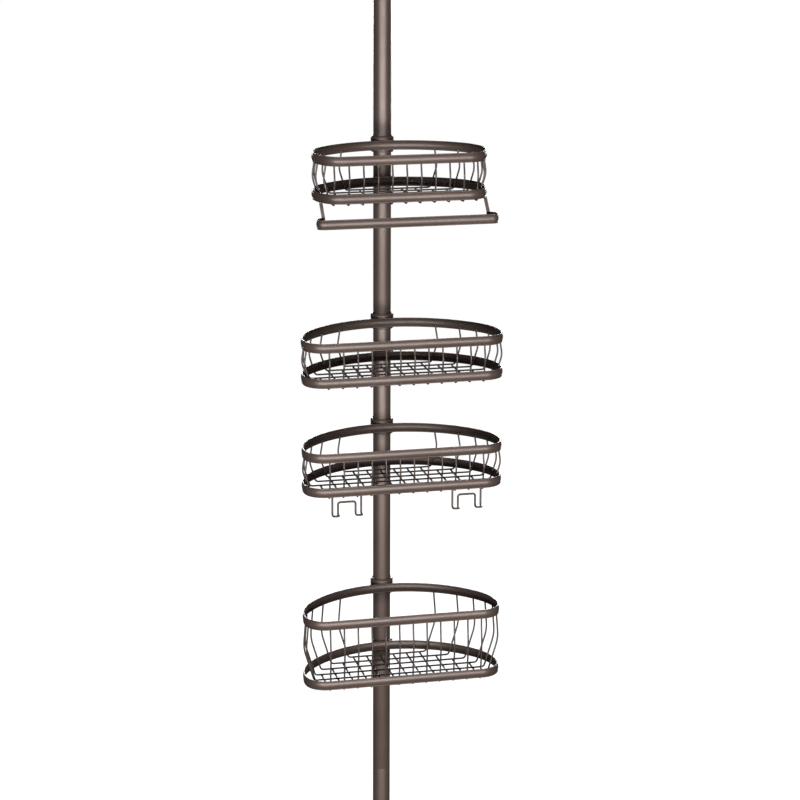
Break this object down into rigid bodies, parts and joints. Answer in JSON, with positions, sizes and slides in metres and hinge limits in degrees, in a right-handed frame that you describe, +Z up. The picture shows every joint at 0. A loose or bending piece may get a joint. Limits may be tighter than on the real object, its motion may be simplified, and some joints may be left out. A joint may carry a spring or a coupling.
{
  "type": "tension pole shower caddy",
  "caption": "Floor-to-ceiling tension pole with wire baskets that slide and swivel, a towel bar and double hooks.",
  "frame": {"origin": "centre of the floor pad's underside, on the pole's axis", "axes": "+Z up along the pole, -Y towards the front of the baskets, X across them"},
  "size_m": [0.285, 0.1975, 2.228],
  "materials": {
    "bronze_coat": "satin bronze powder coat",
    "black_plastic": "satin dark brown moulded plastic",
    "pad_rubber": "matte rubber",
    "spring_steel": "bright zinc plate"
  },
  "bodies": {
    "pole": {"floor_pad": "pad_rubber", "foot_cup": "black_plastic", "lower_tube": "bronze_coat", "middle_tube": "bronze_coat", "upper_tube": "bronze_coat", "tube_couplers": "black_plastic", "lock_bush": "black_plastic"},
    "knob": {"lock_knob": "black_plastic"},
    "inner": {"inner_tube": "bronze_coat", "spring_stop": "black_plastic", "guide_bush": "black_plastic", "compression_spring": "spring_steel"},
    "plunger": {"plunger": "spring_steel", "ceiling_cup": "black_plastic", "ceiling_pad": "pad_rubber"},
    "clip_1": {"pole_clip_1": "black_plastic"},
    "basket_1": {"collar_1": "bronze_coat", "top_rim_1": "bronze_coat", "bottom_rim_1": "bronze_coat", "cross_wires_1": "bronze_coat", "long_wires_1": "bronze_coat", "saddle_1": "bronze_coat", "towel_bar": "bronze_coat", "bar_straps": "bronze_coat"},
    "clip_2": {"pole_clip_2": "black_plastic"},
    "basket_2": {"collar_2": "bronze_coat", "top_rim_2": "bronze_coat", "bottom_rim_2": "bronze_coat", "cross_wires_2": "bronze_coat", "long_wires_2": "bronze_coat", "saddle_2": "bronze_coat"},
    "clip_3": {"pole_clip_3": "black_plastic"},
    "basket_3": {"collar_3": "bronze_coat", "top_rim_3": "bronze_coat", "bottom_rim_3": "bronze_coat", "cross_wires_3": "bronze_coat", "long_wires_3": "bronze_coat", "saddle_3": "bronze_coat", "double_hooks": "bronze_coat"},
    "clip_4": {"pole_clip_4": "black_plastic"},
    "basket_4": {"collar_4": "bronze_coat", "top_rim_4": "bronze_coat", "bottom_rim_4": "bronze_coat", "cross_wires_4": "bronze_coat", "long_wires_4": "bronze_coat", "saddle_4": "bronze_coat"}
  },
  "joints": [
    {"name": "lock_turn", "type": "hinge", "parent": "pole", "child": "knob", "pos_m": [0, 0, 1.9], "axis": [0, 0, 1], "range_deg": [0, 120]},
    {"name": "pole_length", "type": "slide", "parent": "pole", "child": "inner", "axis": [0, 0, 1], "range_m": [-0.2, 0.25]},
    {"name": "top_spring", "type": "slide", "parent": "inner", "child": "plunger", "axis": [0, 0, 1], "range_m": [-0.03, 0], "stiffness_N_per_m": 1500, "springref_m": 0.02, "deforming": ["compression_spring"]},
    {"name": "clip_1_height", "type": "slide", "parent": "pole", "child": "clip_1", "axis": [0, 0, 1], "range_m": [-0.06, 0.12]},
    {"name": "basket_1_swivel", "type": "hinge", "parent": "clip_1", "child": "basket_1", "pos_m": [0, 0, 1.441], "axis": [0, 0, 1], "continuous": true},
    {"name": "clip_2_height", "type": "slide", "parent": "pole", "child": "clip_2", "axis": [0, 0, 1], "range_m": [-0.04, 0.05]},
    {"name": "basket_2_swivel", "type": "hinge", "parent": "clip_2", "child": "basket_2", "pos_m": [0, 0, 1.186], "axis": [0, 0, 1], "continuous": true},
    {"name": "clip_3_height", "type": "slide", "parent": "pole", "child": "clip_3", "axis": [0, 0, 1], "range_m": [-0.03, 0.03]},
    {"name": "basket_3_swivel", "type": "hinge", "parent": "clip_3", "child": "basket_3", "pos_m": [0, 0, 1.03], "axis": [0, 0, 1], "continuous": true},
    {"name": "clip_4_height", "type": "slide", "parent": "pole", "child": "clip_4", "axis": [0, 0, 1], "range_m": [-0.2, 0.05]},
    {"name": "basket_4_swivel", "type": "hinge", "parent": "clip_4", "child": "basket_4", "pos_m": [0, 0, 0.786], "axis": [0, 0, 1], "continuous": true}
  ]
}
